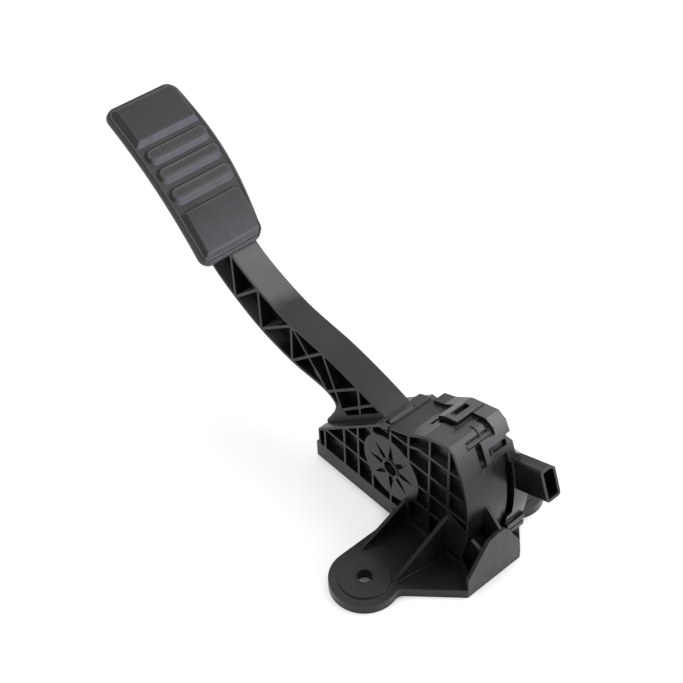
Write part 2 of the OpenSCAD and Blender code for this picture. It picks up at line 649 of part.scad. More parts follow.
shoe_a = [34, 68];
module friction_lever() {
  w = arm_w - 0.6;
  color([0.72, 0.7, 0.64]) {
    slab_mid(w) {
      polygon(concat(
        arc(pivot, hub_r + move_fit, shoe_a[0], shoe_a[1], 10),
        [[6.8, pivot_h + 22.6], [10.6, lever_pivot[1] + 2], [lever_pivot[0], lever_pivot[1] + 4],
          [21, spring_high + 1.6], [spring_x + 2, spring_high + 4.6], [spring_x + 9, spring_high + 4.6],
          [spring_x + 9, spring_high], [spring_x - 7.6, spring_high], [spring_x - 8.4, spring_high - 8],
          [18.3, pivot_h + 15]]));
      translate(lever_pivot) circle(r = 4.4);
    }
    translate([lever_pivot[0], 0, lever_pivot[1]]) rod_y(lever_pivot_r, -in_y - 1.3, in_y + 1.3);
    translate([spring_x, 0, spring_high - 4]) cylinder(r = spigot_r, h = 5);
  }
}

module spring_seat() {
  color([0.12, 0.12, 0.13]) {
    intersection() {
      translate([rock[0], 0, rock[1]]) rod_y(rock_r, -arm_half + 1, arm_half - 1);
      translate([rock[0] - rock_r, -arm_half, rock[1] - rock_r]) cube([2 * rock_r, arm_w, rock_r + 1]);
    }
    translate([rock[0], 0, rock[1]]) cylinder(r = seat_r, h = seat_t);
    translate([rock[0], 0, rock[1]]) cylinder(r = spigot_r, h = seat_t + 4);
  }
}

// Compression spring wound as a swept tube, with closed coils at both ends.
function coil_z(t, turns, wire, h) =
  let (dead = 1, e = wire * 1.02, live = h - wire - 2 * e * dead)
    wire / 2 + (t < dead ? t * e : t > turns - dead ? h - wire - (turns - t) * e
      : e * dead + live * (t - dead) / (turns - 2 * dead));
function coil_ring(t, turns, wire, r, h, sides) =
  [for (k = [0:sides - 1]) let (a = 360 * t, b = 360 * k / sides, q = r + wire / 2 * cos(b))
    [q * cos(a), q * sin(a), coil_z(t, turns, wire, h) + wire / 2 * sin(b)]];
module coil_spring(d, wire, turns, h, per_turn, sides) {
  n = ceil(turns * per_turn);
  points = [for (i = [0:n]) for (p = coil_ring(turns * i / n, turns, wire, (d - wire) / 2, h, sides)) p];
  skin = [for (i = [0:n - 1], k = [0:sides - 1]) let (a = i * sides + k, b = i * sides + (k + 1) % sides)
    [a, b, b + sides, a + sides]];
  caps = [[for (k = [sides - 1:-1:0]) k], [for (k = [0:sides - 1]) n * sides + k]];
  polyhedron(points = points, faces = concat(skin, caps), convexity = 10);
}
spring_gap = 0.06;
module outer_spring() {
  color([0.45, 0.46, 0.48]) translate([spring_x, 0, spring_low + spring_gap])
    coil_spring(outer_spring_d, outer_wire, 6.5, spring_high - spring_low - 2 * spring_gap, 20, 8);
}
module inner_spring() {
  color([0.5, 0.5, 0.52]) translate([spring_x, 0, spring_low + spring_gap])
    coil_spring(inner_spring_d, inner_wire, 8.5, spring_high - spring_low - 2 * spring_gap, 18, 8);
}

// Line of the arm's face under the lip, for the idle stop that it rests on.
function face_z(x) = pivot_h + 25.2 - (x + 10) * 0.325;
module idle_stop() {
  roof = pivot_h + lip_z - seat_fit;
  color([0.06, 0.06, 0.06]) {
    slab(-arm_half, 4.6) polygon([
      [-7.6, face_z(-7.6) + move_fit], [-2.1, face_z(-2.1) + move_fit], [-2.1, roof], [-7.6, roof]]);
    slab(-11.8, 4.6) translate([stop_x[0] + seat_fit, roof - 0.8])
      square([stop_x[1] - stop_x[0] - 2 * seat_fit, 4.2]);
  }
}
stop_block = [-50, 9];
module full_travel_stop() {
  color([0.06, 0.06, 0.06]) translate([stop_block[0] + seat_fit, -6 + seat_fit, floor_t - 1])
    cube([stop_block[1] - 2 * seat_fit, 12 - 2 * seat_fit, 4.2]);
}

holder_r = 13;
holder_t = 4;
magnet_r = [8.6, 11.6];
magnet_t = 2.4;
magnet_gap = 0.06;
// The two magnets, or with clear = 1 the pockets that hold them.
module magnet_arc(clear) {
  g = clear * magnet_gap;
  for (a = [40, 220]) rotate([0, 0, a - clear]) rotate_extrude(angle = 100 + 2 * clear)
    translate([magnet_r[0] - g, -2 * g]) square([magnet_r[1] - magnet_r[0] + 2 * g, magnet_t + 3 * g]);
}
module at_holder_face() {
  translate([0, arm_half - 0.2, pivot_h]) rotate([90, 0, 0]) children();
}
module magnet_holder() {
  color([0.15, 0.15, 0.16]) difference() {
    at_pivot() rod_y(holder_r, arm_half - holder_t, arm_half - 0.2);
    at_pivot() rod_y(pin_r + run_fit + bush_wall + 0.1, 0, arm_half + past);
    at_holder_face() magnet_arc(1);
  }
}
module ring_magnets() {
  color([0.3, 0.3, 0.32]) at_holder_face() magnet_arc(0);
}

socket_end = [74.4, pivot_h + 22.4];
plug_y = block_y - shroud_w / 2;
pin_run = 33.4;
pin_size = 0.64;
// Distance of the terminals' tips behind the mouth.
pin_back = 8;
module on_plug_axis() {
  translate([socket_end[0], plug_y, socket_end[1]]) rotate([0, -plug_tilt, 0]) children();
}
// The terminals, grown by g on every side.
module terminals(g) {
  for (i = [0:pin_count - 1]) on_plug_axis() translate([0, 0, (i - (pin_count - 1) / 2) * pin_pitch]) {
    s = pin_size + 2 * g;
    translate([-pin_run - s / 2, -s / 2, -s / 2]) cube([pin_run - pin_back + s, s, s]);
    translate([-pin_run - s / 2, board_y + 0.1 - plug_y, -s / 2])
      cube([s, plug_y - board_y - 0.1 + s / 2, s]);
  }
}
module terminal_pins() {
  color([0.75, 0.72, 0.62]) terminals(0);
}
module sensor_board() {
  color([0.05, 0.22, 0.1]) difference() {
    slab(board_y + 0.5, board_y + 0.5 + board_t) sensor_pocket(-0.6);
    terminals(0.06);
    at_pivot() rod_y(2, 0, out_y + 5);
  }
}
chip_y = board_y + 0.5 + board_t;
module hall_chips() {
  color([0.08, 0.08, 0.09]) for (s = [-1, 1])
    translate([s * 10 - 2.5, chip_y, pivot_h - 2]) cube([5, 1.3, 4]);
}
module board_parts() {
  color([0.5, 0.42, 0.3]) {
    for (i = [0:2]) translate([22 + 5 * i, chip_y, pivot_h + 10]) cube([2, 1.2, 3.2]);
    for (i = [0:1]) translate([23 + 7 * i, chip_y, pivot_h - 3]) cube([3.2, 1, 1.6]);
    translate([22, chip_y, pivot_h + 1]) cube([6, 1.4, 5]);
  }
}

seal_at = 1.2;
seal_w = 1.5;
seal_d = 1.1;
seal_top = out_y + 0.9;
module cover_seal() {
  color([0.5, 0.12, 0.08]) slab(out_y - seal_d, seal_top) difference() {
    sensor_pocket(seal_at + seal_w);
    sensor_pocket(seal_at);
  }
}

// Outline of the cover: the housing's top and rear edges grown by the rim, then round the pocket.
cover_x = 3.5;
module cover_view(g) {
  intersection() {
    side_view(clip_h + g);
    polygon(outset(concat(
      [[cover_x, pivot_h + 60], [rear_x + 12, pivot_h + 60], [rear_x + 12, 17], [34, 13], [4, 13], [-6, 13.6],
        [-15, 17]],
      arc(pivot, pocket_r + 5.4, 228, 130, 8), [[-5, pivot_h + 26.6], [cover_x, pivot_h + 27]]), g, true));
  }
}
module rim2d() {
  difference() {
    cover_view(0);
    cover_view(-cover_t);
  }
}
module top_rim2d(rise = 0) {
  difference() {
    side_view(clip_h + rise);
    side_view(0.15);
  }
}
module window(c) {
  translate([-c[3] / 2 - 0.4, c[1] - 0.5, -1]) cube([c[3] + 0.8, c[4] - c[1] + 0.5, 4 + cover_t]);
}
module rim_part(y, x, z, rise = 0) {
  slab(y, cover_y - 1) intersection() {
    top_rim2d(rise);
    translate([x[0], z[0]]) square([x[1] - x[0], z[1] - z[0]]);
  }
}
// Extra thickness of the top clip.
clip_rise = 0.8;
low_clip = [pivot_h - 19.5, pivot_h - 11.5];
// Lug below the lowest clip: its ranges of y, x and z, and the slit in its rear face.
lug_y = [13.2, 25.4];
lug = [[rear_x - 6, rear_x + 2], [10.5, 18.5]];
slit = [[rear_x - 0.6, rear_x + 3], [13.4, 14.7]];
// Step in the cover's rear edge beside the rear clip's window: its y and its range of z.
step_y = 16.6;
step_z = [pivot_h + 35.7, pivot_h + 40.6];
module cover_tabs() {
  rim_part(top_clip_y, top_clip, [pivot_h + 30, pivot_h + 60], clip_rise);
  rim_part(flange_y, [cover_x, top_clip[0] + 1], [pivot_h + 20, pivot_h + 60]);
  rim_part(strip_y, [top_clip[1] - 1, rear_x + 5], [rear_clip[0], pivot_h + 60]);
  rim_part(rear_clip_y, rear_run, rear_clip);
  difference() {
    rim_part(12.6, rear_run, low_clip);
    translate([rear_x - 5, 13.6, low_clip[0] + 3.4]) cube([10, cover_y, 1.2]);
  }
  difference() {
    slab(lug_y[0], lug_y[1]) difference() {
      translate([lug[0][0], lug[1][0]]) square([lug[0][1] - lug[0][0], lug[1][1] - lug[1][0]]);
      side_view(0.15);
    }
    slab(lug_y[0] + 1, lug_y[1] + past)
      translate([slit[0][0], slit[1][0]]) square([slit[0][1] - slit[0][0], slit[1][1] - slit[1][0]]);
  }
}
// Shroud's section grown by g, with one corner cut off so that the plug fits one way only.
key_cut = 2.4;
module shroud_outline(g) {
  leg = key_cut + (2 - sqrt(2)) * g;
  difference() {
    round_rect(shroud_w + 2 * g, shroud_h + 2 * g, 2 + g);
    translate([shroud_w / 2 + g, shroud_h / 2 + g]) rotate(45) square(leg * sqrt(2), center = true);
  }
}
// Section across the connector block: its outer top edge is cut off at a slope.
block_z = [19, pivot_h + 21, pivot_h + 28.5];
module block_section() {
  translate([30, 0, 0]) rotate([90, 0, 90]) linear_extrude(40) polygon([
    [cover_y - cover_t, block_z[0]], [block_y, block_z[0]], [block_y, block_z[1]],
    [cover_y + 0.5, block_z[2]], [cover_y - cover_t, block_z[2]]]);
}
module along_plug(a0, a1) {
  on_plug_axis() translate([a0, 0, 0]) rotate([90, 0, 90]) linear_extrude(a1 - a0) children();
}
module sensor_cover() {
  color([0.05, 0.05, 0.055]) difference() {
    union() {
      slab(cover_y - cover_t, cover_y) cover_view(0);
      difference() {
        slab(out_y + seat_fit, cover_y - cover_t + 0.1) rim2d();
        translate([rear_x - 14, out_y - 1, 26]) cube([30, 2.6, pivot_h]);
      }
      cover_tabs();
      // Rib that presses on the seal, and posts that hold the board down.
      slab(seal_top + 0.02, cover_y - cover_t + 0.1) difference() {
        sensor_pocket(seal_at + seal_w);
        sensor_pocket(seal_at);
      }
      for (p = [[-13.5, 7], [0, 14.5], [17, -5.5], [33, -5.5]])
        translate([p[0], 0, pivot_h + p[1]]) rod_y(1.8, chip_y + 0.02, cover_y - 1);
      // Block that carries the terminals and the connector.
      intersection() {
        slab(cover_y - cover_t, block_y) intersection() {
          cover_view(0);
          polygon([[34, 0], [70, 0], [70, 2 * pivot_h], [44, 2 * pivot_h], [34, pivot_h + 16]]);
        }
        block_section();
      }
      along_plug(-pin_run - 2, 0) shroud_outline(0);
    }
    along_plug(-socket_d, past) shroud_outline(-shroud_t);
    on_slope(catch_top[0]) window(catch_top);
    on_rear(catch_rear[0]) window(catch_rear);
    translate([rear_x - 10, step_y, step_z[0]]) cube([20, cover_y, step_z[1] - step_z[0]]);
    terminals(0.06);
    // Hollow back of the block.
    slab(cover_y - cover_t - past, block_y - 2) difference() {
      translate([37, 23]) square([13, 16]);
    }
  }
}

module bolt_sleeve() {
  difference() {
    cylinder(r = bolt_r + sleeve_t, h = flange_t + boss_h);
    translate([0, 0, -past]) cylinder(r = bolt_r, h = flange_t + 4);
    rotate([0, 0, 20]) translate([0, -0.35, -past]) cube([bolt_r + 4, 0.7, flange_t + 4]);
  }
}
module bolt_sleeve_near() {
  color([0.35, 0.35, 0.36]) translate([near_bolt[0], near_bolt[1], 0]) bolt_sleeve();
}
module bolt_sleeve_far() {
  color([0.35, 0.35, 0.36]) translate([far_bolt[0], far_bolt[1], 0]) bolt_sleeve();
}

housing();
pedal_arm();
pedal_pad();
pivot_pin();
bush_near();
bush_far();
friction_lever();
spring_seat();
outer_spring();
inner_spring();
idle_stop();
full_travel_stop();
magnet_holder();
ring_magnets();
sensor_board();
hall_chips();
board_parts();
terminal_pins();
sensor_cover();
cover_seal();
bolt_sleeve_near();
bolt_sleeve_far();
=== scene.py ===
# Looks of the floor-mounted accelerator pedal: camera, light, finishes and finely modelled pieces.
# Everything is in metres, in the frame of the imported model.
import math

import bmesh
import bpy
from mathutils import Matrix, Vector


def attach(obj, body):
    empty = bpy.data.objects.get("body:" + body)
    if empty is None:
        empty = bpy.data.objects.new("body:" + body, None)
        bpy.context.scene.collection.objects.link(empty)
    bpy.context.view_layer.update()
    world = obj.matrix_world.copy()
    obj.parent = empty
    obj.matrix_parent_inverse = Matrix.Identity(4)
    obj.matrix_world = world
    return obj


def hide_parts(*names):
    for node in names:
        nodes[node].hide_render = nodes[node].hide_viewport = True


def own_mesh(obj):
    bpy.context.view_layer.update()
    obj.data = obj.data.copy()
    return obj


MM = 0.001

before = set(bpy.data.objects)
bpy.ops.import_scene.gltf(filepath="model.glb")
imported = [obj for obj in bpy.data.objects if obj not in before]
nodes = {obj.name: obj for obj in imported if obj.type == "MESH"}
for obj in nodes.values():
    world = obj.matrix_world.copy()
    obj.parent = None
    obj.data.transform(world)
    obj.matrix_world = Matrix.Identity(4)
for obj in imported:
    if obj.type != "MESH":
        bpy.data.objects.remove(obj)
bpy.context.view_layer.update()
scene = bpy.context.scene

# Camera: found from the photograph's perspective of the foot, the walls and the bolt sleeves.
CAMERA_AT = (348.5, -338.8, 575.3)
CAMERA_RIGHT = (0.6651, 0.7462, -0.0279)
CAMERA_UP = (-0.4986, 0.4717, 0.7274)
CAMERA_BACK = (0.5559, -0.4698, 0.6858)
SENSOR = 36.0
FOCAL_PIXELS = 1399
PHOTO_PIXELS = 683
LENS = SENSOR * FOCAL_PIXELS / PHOTO_PIXELS

# Strength of the surround as light on the object. Seen directly or in a reflection, it is white.
WORLD_LIGHT = 0.45
# The surround is dimmer in reflections from -X: where that begins and ends, and the strength there.
DIM_HEADINGS = (-0.95, -0.1)
DIM_STRENGTH = 0.3

FLOOR_GREY = 0.5
FLOOR_GLOW = 0.68
FLOOR_HALF = 3.0
# How far the floor looks for the object, and the shares of open sky at which its glow is none and full: the
# glow's fall-off paints shade round and under the object.
FLOOR_SHADE = 18 * MM
FLOOR_OPEN = (0.26, 0.62)


def make_camera():
    data = bpy.data.cameras.new("camera")
    data.sensor_width = SENSOR
    data.sensor_fit = "HORIZONTAL"
    data.lens = LENS
    data.clip_start = 0.01
    data.clip_end = 20
    camera = bpy.data.objects.new("camera", data)
    turn = Matrix((CAMERA_RIGHT, CAMERA_UP, CAMERA_BACK)).transposed().to_4x4()
    turn.translation = Vector(CAMERA_AT) * MM
    camera.matrix_world = turn
    scene.collection.objects.link(camera)
    scene.camera = camera


class Tree:
    """Short form for building a node tree."""

    def __init__(self, tree):
        self.tree = tree
        self.tree.nodes.clear()

    def add(self, kind, values=None, **settings):
        node = self.tree.nodes.new(kind)
        for key, value in settings.items():
            setattr(node, key, value)
        for key, value in (values or {}).items():
            if isinstance(value, bpy.types.NodeSocket):
                self.tree.links.new(value, node.inputs[key])
            else:
                node.inputs[key].default_value = value
        return node

    def link(self, out, into):
        self.tree.links.new(out, into)


def new_material(name):
    material = bpy.data.materials.new(name)
    material.use_nodes = True
    return material, Tree(material.node_tree)


def grey(v, tint=(1, 1, 1)):
    return (v * tint[0], v * tint[1], v * tint[2], 1)


def scaled_coords(t, scale=(1, 1, 1)):
    place = t.add("ShaderNodeTexCoord")
    return t.add("ShaderNodeMapping", {"Vector": place.outputs["Object"], "Scale": scale}).outputs[0]


def noise(t, coords, scale, detail=3.0, rough=0.55):
    return t.add("ShaderNodeTexNoise", {
        "Vector": coords, "Scale": scale, "Detail": detail, "Roughness": rough}).outputs["Fac"]


def remap(t, value, low, high, to_low, to_high):
    return t.add("ShaderNodeMapRange", {
        "Value": value, "From Min": low, "From Max": high, "To Min": to_low, "To Max": to_high}).outputs[0]


def mix_colors(t, factor, a, b):
    node = t.add("ShaderNodeMix", data_type="RGBA")
    for socket, value in ((node.inputs[0], factor), (node.inputs[6], a), (node.inputs[7], b)):
        if isinstance(value, bpy.types.NodeSocket):
            t.link(value, socket)
        else:
            socket.default_value = value
    return node.outputs[2]


def mix_values(t, factor, a, b):
    return t.add("ShaderNodeMix", {0: factor, 2: a, 3: b}).outputs[0]


def math_node(t, kind, a, b):
    return t.add("ShaderNodeMath", {0: a, 1: b}, operation=kind).outputs[0]


def seen_rays(t):
    """One for rays that see a surface directly, in a reflection or through something, else zero."""
    path = t.add("ShaderNodeLightPath")
    seen = math_node(t, "MAXIMUM", path.outputs["Is Camera Ray"], path.outputs["Is Glossy Ray"])
    return math_node(t, "MAXIMUM", seen, path.outputs["Is Transmission Ray"])


def axis_value(t, vector, axis):
    return t.add("ShaderNodeSeparateXYZ", {"Vector": vector}).outputs[axis]


def add_rear_polish_and_painted_sheen(t, base, rough_value, rear, rear_from):
    """Lays a streaky polish over the faces that look towards +X, and paints a lighter, tinted sheen into
    their colour there: a painted reflection.
    """
    color, rough, tint = rear
    facing = axis_value(t, t.add("ShaderNodeNewGeometry").outputs["Normal"], "X")
    polish_and_sheen_mask = remap(t, facing, rear_from, 0.85, 0.0, 1.0)
    streaks = noise(t, scaled_coords(t, (1, 3, 0.6)), 70.0, 3.0)
    # Painted sheen: the +X faces take a lighter, tinted, streaky colour where they would reflect the light.
    painted_shine = mix_colors(t, streaks, grey(color * 0.5, tint), grey(color * 1.5, tint))
    shine_rough = remap(t, streaks, 0.3, 0.7, rough - 0.06, rough + 0.08)
    return mix_colors(t, polish_and_sheen_mask, base, painted_shine), mix_values(t, polish_and_sheen_mask, rough_value, shine_rough)


def add_painted_top_light(t, base, clouds, zone):
    """Paints the upward faces lighter past a cloudy border: a painted highlight where light falls on them."""
    color, axis, begins, full = zone
    geometry = t.add("ShaderNodeNewGeometry")
    place = axis_value(t, geometry.outputs["Position"], axis)
    place = math_node(t, "ADD", place, remap(t, clouds, 0.0, 1.0, -6 * MM, 6 * MM))
    in_zone = remap(t, place, begins * MM, full * MM, 0.0, 1.0)
    facing_up = axis_value(t, geometry.outputs["Normal"], "Z")
    # Painted highlight: upward faces in the zone are made lighter where light falls on them.
    painted_light_mask = math_node(t, "MULTIPLY", in_zone, remap(t, facing_up, 0.2, 0.6, 0.0, 1.0))
    return mix_colors(t, painted_light_mask, base, grey(color))


def painted_edge_mask(t, round_edge, dense):
    """How much of an edge a point is, by the marks of a fine mesh or by the turn of the rounded normal: the
    mask of the painted edge highlight.
    """
    if dense:
        return t.add("ShaderNodeAttribute", attribute_name="edge").outputs["Fac"]
    normal = t.add("ShaderNodeNewGeometry").outputs["Normal"]
    turned = t.add("ShaderNodeVectorMath", {0: round_edge, 1: normal}, operation="DOT_PRODUCT")
    return remap(t, turned.outputs["Value"], 0.97, 0.78, 0.0, 1.0)


def moulded(name, color, rough, spread, grain, height, edge, specular=0.5, edge_highlight_gain=1.6,
            rear=None, rear_from=0.45, dense=False, painted_light_zone=None):
    """Moulded plastic or rubber: cloudy gloss, fine grain, and rounded edges with a painted highlight.

    grain is the size of the surface grain in mm, height its depth, and edge the radius of the edges in mm.
    edge_highlight_gain is how much lighter the edges are painted. rear is the colour, roughness and tint of
    the streaky polish and painted sheen on the faces whose normals reach rear_from along +X, or None. dense
    is for a fine mesh with soft edges, which are marked by its attribute "edge". painted_light_zone is the
    painted highlight's colour on the upward faces, the axis along which their zone is found, and the places
    where it begins and is full, in mm, or None.
    """
    material, t = new_material(name)
    coords = scaled_coords(t)
    clouds = noise(t, coords, 45.0, 4.0, 0.6)
    fine = noise(t, coords, 1 / (grain * MM), 2.0)
    rough_value = remap(t, clouds, 0.3, 0.7, rough - spread, rough + spread)
    round_edge = t.add("ShaderNodeBevel", {"Radius": edge * MM}, samples=6).outputs[0]
    base = mix_colors(t, clouds, grey(color * 0.8), grey(color * 1.25))
    if rear:
        base, rough_value = add_rear_polish_and_painted_sheen(t, base, rough_value, rear, rear_from)
    if painted_light_zone:
        base = add_painted_top_light(t, base, clouds, painted_light_zone)
    # Painted highlight: the edges are made lighter in colour where they would catch the light.
    base = mix_colors(t, painted_edge_mask(t, round_edge, dense), base, grey(color * edge_highlight_gain))
    bump = t.add("ShaderNodeBump", {
        "Strength": 0.5, "Distance": height * MM, "Height": fine, "Normal": round_edge})
    sunk = noise(t, coords, 60.0, 2.0)
    sinks = t.add("ShaderNodeBump", {
        "Strength": 0.35, "Distance": 0.5 * MM, "Height": sunk, "Normal": bump.outputs[0]})
    shader = t.add("ShaderNodeBsdfPrincipled", {
        "Base Color": base, "Roughness": rough_value, "Normal": sinks.outputs[0],
        "Specular IOR Level": specular})
    out = t.add("ShaderNodeOutputMaterial")
    t.link(shader.outputs[0], out.inputs[0])
    return material


def metal(name, color, rough, grain_scale, stretch, edge=0.15):
    """Bare metal with drawn or ground marks that run along the stretched axis."""
    material, t = new_material(name)
    coords = scaled_coords(t, stretch)
    marks = noise(t, coords, grain_scale, 5.0, 0.65)
    clouds = noise(t, scaled_coords(t), 160.0, 3.0)
    base = mix_colors(t, clouds, grey(color * 0.8), grey(color * 1.1))
    round_edge = t.add("ShaderNodeBevel", {"Radius": edge * MM}, samples=4)
    bump = t.add("ShaderNodeBump", {
        "Strength": 0.25, "Distance": 0.02 * MM, "Height": marks, "Normal": round_edge.outputs[0]})
    shader = t.add("ShaderNodeBsdfPrincipled", {
        "Base Color": base, "Metallic": 1.0, "Normal": bump.outputs[0],
        "Roughness": remap(t, marks, 0.3, 0.7, rough - 0.08, rough + 0.1)})
    out = t.add("ShaderNodeOutputMaterial")
    t.link(shader.outputs[0], out.inputs[0])
    return material


def dress(node, material):
    """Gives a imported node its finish."""
    mesh = nodes[node].data
    mesh.materials.clear()
    mesh.materials.append(material)


def make_finishes():
    # In each finish, the edges, the faces towards +X and the upward faces of a zone are lightened as painted
    # highlights and sheen.
    blue = (0.93, 0.96, 1.15)
    housing = moulded("housing nylon", 0.009, 0.34, 0.07, 0.35, 0.012, 0.4, specular=0.32, edge_highlight_gain=6.0,
                      rear=(0.008, 0.28, blue), painted_light_zone=(0.065, "Z", 50.0, 82.0))
    arm = moulded("arm nylon", 0.01, 0.4, 0.06, 0.3, 0.015, 0.4, specular=0.3, edge_highlight_gain=5.0,
                  painted_light_zone=(0.1, "X", -93.0, -101.0))
    cover = moulded("cover nylon", 0.009, 0.26, 0.07, 0.35, 0.012, 0.4, specular=0.42, edge_highlight_gain=4.0,
                    rear=(0.013, 0.24, blue), painted_light_zone=(0.09, "Z", 60.0, 85.0))
    pad = moulded("pad rubber", 0.014, 0.46, 0.06, 0.22, 0.03, 0.12, specular=0.36, edge_highlight_gain=6.0,
                  rear=(0.1, 0.42, blue), rear_from=0.7, dense=True)
    stop = moulded("stop rubber", 0.01, 0.3, 0.05, 0.3, 0.03, 0.3)
    seal = moulded("seal rubber", 0.2, 0.6, 0.05, 0.3, 0.02, 0.2)
    polymer = moulded("bush polymer", 0.55, 0.4, 0.05, 0.3, 0.01, 0.2, edge_highlight_gain=1.1)
    dark = moulded("dark polymer", 0.02, 0.45, 0.05, 0.3, 0.01, 0.3)
    pin = metal("ground steel", 0.56, 0.28, 900.0, (1, 0.05, 1))
    wire = metal("spring steel", 0.32, 0.34, 1400.0, (1, 1, 0.4))
    sleeve = metal("sleeve steel", 0.04, 0.45, 700.0, (1, 1, 0.2))
    magnet = metal("sintered magnet", 0.12, 0.6, 2500.0, (1, 1, 1))
    tin = metal("tinned terminals", 0.62, 0.25, 1500.0, (0.2, 1, 1), 0.08)
    board = moulded("board lacquer", 0.06, 0.3, 0.04, 0.5, 0.004, 0.1)
    part = moulded("ceramic parts", 0.3, 0.5, 0.05, 0.3, 0.01, 0.1)
    # The pad's node is replaced, so its finish is handed on to the new pad.
    for node, material in {
        "housing": housing, "pedal_arm": arm, "pivot_pin": pin, "bush_near": polymer,
        "bush_far": polymer, "friction_lever": polymer, "spring_seat": dark, "outer_spring": wire,
        "inner_spring": wire, "idle_stop": stop, "full_travel_stop": stop, "magnet_holder": dark,
        "ring_magnets": magnet, "sensor_board": board, "hall_chips": dark, "board_parts": part,
        "terminal_pins": tin, "sensor_cover": cover, "cover_seal": seal, "bolt_sleeve_near": sleeve,
        "bolt_sleeve_far": sleeve,
    }.items():
        dress(node, material)
    return pad


def area_light(name, at, size, power, towards=(-20, 0, 60), color=(1, 1, 1)):
    data = bpy.data.lights.new(name, "AREA")
    data.shape = "RECTANGLE"
    data.size, data.size_y = size
    data.energy = power
    data.color = color
    lamp = bpy.data.objects.new(name, data)
    lamp.location = Vector(at) * MM
    lamp.rotation_euler = (Vector(towards) - Vector(at)).to_track_quat("-Z", "Y").to_euler()
    scene.collection.objects.link(lamp)


def make_world():
    world = bpy.data.worlds.new("studio")
    world.use_nodes = True
    scene.world = world
    t = Tree(world.node_tree)
    heading = t.add("ShaderNodeTexCoord").outputs["Generated"]
    heading_x = t.add("ShaderNodeSeparateXYZ", {"Vector": heading}).outputs["X"]
    mirrored = remap(t, heading_x, *DIM_HEADINGS, DIM_STRENGTH, 1.0)
    strength = mix_values(t, seen_rays(t), WORLD_LIGHT, mirrored)
    glow = t.add("ShaderNodeBackground", {"Color": (1, 1, 1, 1), "Strength": strength})
    out = t.add("ShaderNodeOutputWorld")
    t.link(glow.outputs[0], out.inputs[0])


def make_floor():
    mesh = bpy.data.meshes.new("floor")
    half = FLOOR_HALF
    corners = [(-half, -half, 0), (half, -half, 0), (half, half, 0), (-half, half, 0)]
    mesh.from_pydata(corners, [], [(0, 1, 2, 3)])
    floor = bpy.data.objects.new("floor", mesh)
    scene.collection.objects.link(floor)
    material, t = new_material("floor")
    paper = t.add("ShaderNodeBsdfDiffuse", {"Color": grey(FLOOR_GREY)})
    # Painted shade: the glow seen on the floor is dimmed where the object shuts out the open sky.
    open_sky = t.add("ShaderNodeAmbientOcclusion", {"Distance": FLOOR_SHADE}, samples=12).outputs["AO"]
    strength = math_node(t, "MULTIPLY", seen_rays(t), remap(t, open_sky, *FLOOR_OPEN, 0.0, FLOOR_GLOW))
    glow = t.add("ShaderNodeEmission", {"Color": (1, 1, 1, 1), "Strength": strength})
    both = t.add("ShaderNodeAddShader")
    t.link(paper.outputs[0], both.inputs[0])
    t.link(glow.outputs[0], both.inputs[1])
    out = t.add("ShaderNodeOutputMaterial")
    t.link(both.outputs[0], out.inputs[0])
    mesh.materials.append(material)


def make_lights():
    area_light("key", (-250, -250, 900), (0.7, 0.7), 0.6, color=(1, 1, 0.97))
    area_light("back", (-480, 430, 640), (0.6, 0.5), 1.5, color=(1, 1, 0.96))
    area_light("side", (500, 270, 205), (0.5, 0.37), 1.9, color=(0.96, 0.97, 1))
    area_light("high", (230, 440, 790), (0.6, 0.5), 3.0, color=(0.98, 0.98, 1))


def make_spring(node):
    """A copy of a return spring, fixed to the housing in place of the imported one, which is hidden.
    """
    mesh = nodes[node].data.copy()
    spring = bpy.data.objects.new(node + "_wire", mesh)
    scene.collection.objects.link(spring)
    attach(spring, "housing")
    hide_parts(node)
    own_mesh(spring)


# The pad, in mm and in its own frame: x along the chord to the arm, y across, and depth out of the face.
PAD_TILT = math.radians(39.5)
# X and Z of the chord's middle in the shared frame, and Y of the pad's middle.
PAD_MID = (-165.5, 131.5)
PAD_Y = -8
PAD_LEN = 98
PAD_RADIUS = 220
# The straight near edge at each end, and the far edge: its ends and how far it bows out.
PAD_NEAR = (-21.8, -19.4)
PAD_FAR = (23.3, 21.4)
PAD_BOW = 3.4
PAD_BOW_POWER = 1.2
PAD_CORNER = 6.5
PAD_SAG = PAD_LEN ** 2 / 8 / PAD_RADIUS
# Depths of the ground, the skirt's foot and the underside, and the height of the panels and bars.
PAD_BASE = -1.7
PAD_SKIRT = -5.5
PAD_UNDER = -2.75
PAD_RELIEF = 1.9
SKIRT_WALL = 1.6
# The skirt is cut away for the arm: how far from the pad's end, and over which y.
ARM_GAP_LENGTH = 8
ARM_GAP = (-0.8, 16.8)
# The bead along the rim: height, distance from the edge and width.
RIM_BEAD = (0.75, 1.5, 0.4)
# How deep and how wide the rim's edge rounds off.
RIM_ROUND = (0.7, 0.7)
# The corners of the panels at the pad's far edge.
PANEL_CORNER = 4
# Raised panels: ranges of x and y of the flat top, then the widths of the slopes at -x, +x, -y and +y.
PANELS = (
    ((-46.6, -25.8), (-15.4, 21.2), (1.0, 3.9, 3.9, 1.2)),
    ((19.2, 43.7), (-14.4, 20.4), (0.9, 2.8, 4.0, 1.2)),
)
# Grip bars: the middle's x, the half width of the flat top, and its range of y.
BARS = ((-16.0, 2.7, (-15.6, 21.6)), (-4.4, 2.7, (-15.6, 21.8)), (8.2, 2.9, (-15.6, 21.6)))
# Widths of a bar's slopes at -x, +x and its ends.
BAR_SLOPES = (0.9, 3.2, 2.0)
# The groove round the top of a bar: depth, distance from the edge and half width.
BAR_GROOVE = (0.22, 0.75, 0.35)
# The mesh: rows round each corner and between them, and columns across.
CORNER_ROWS = 14
MIDDLE_ROWS = 240
COLUMNS = 120
# A bend between neighbours of this depth is marked as a full edge.
EDGE_BEND = 0.2
WELD = 0.01 * MM


